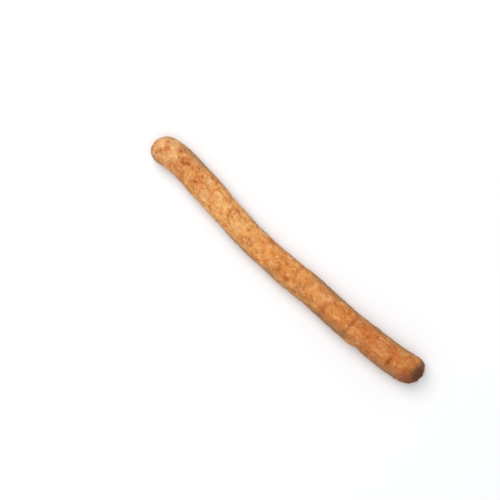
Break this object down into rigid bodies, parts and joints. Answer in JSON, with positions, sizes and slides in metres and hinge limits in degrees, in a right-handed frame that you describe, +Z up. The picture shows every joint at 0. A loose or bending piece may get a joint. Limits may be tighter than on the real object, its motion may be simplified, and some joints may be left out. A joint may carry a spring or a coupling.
{
  "type": "miswak stick",
  "caption": "Gently bent length of chewing root in mottled tan bark, with a rounded pale tip and a dark slanted cut.",
  "frame": {"origin": "on the surface that the stick lies on, under the middle of its bounding box", "axes": "+X along the stick from its rounded light tip to its slanted dark cut, +Z up from the surface, +Y sideways, to the side that both ends bend towards"},
  "size_m": [0.1498, 0.018, 0.0131],
  "materials": {
    "bark": "matt mottled tan root bark, with a dark dried cut at its far end"
  },
  "bodies": {
    "root": {"stick": "bark"}
  },
  "joints": []
}
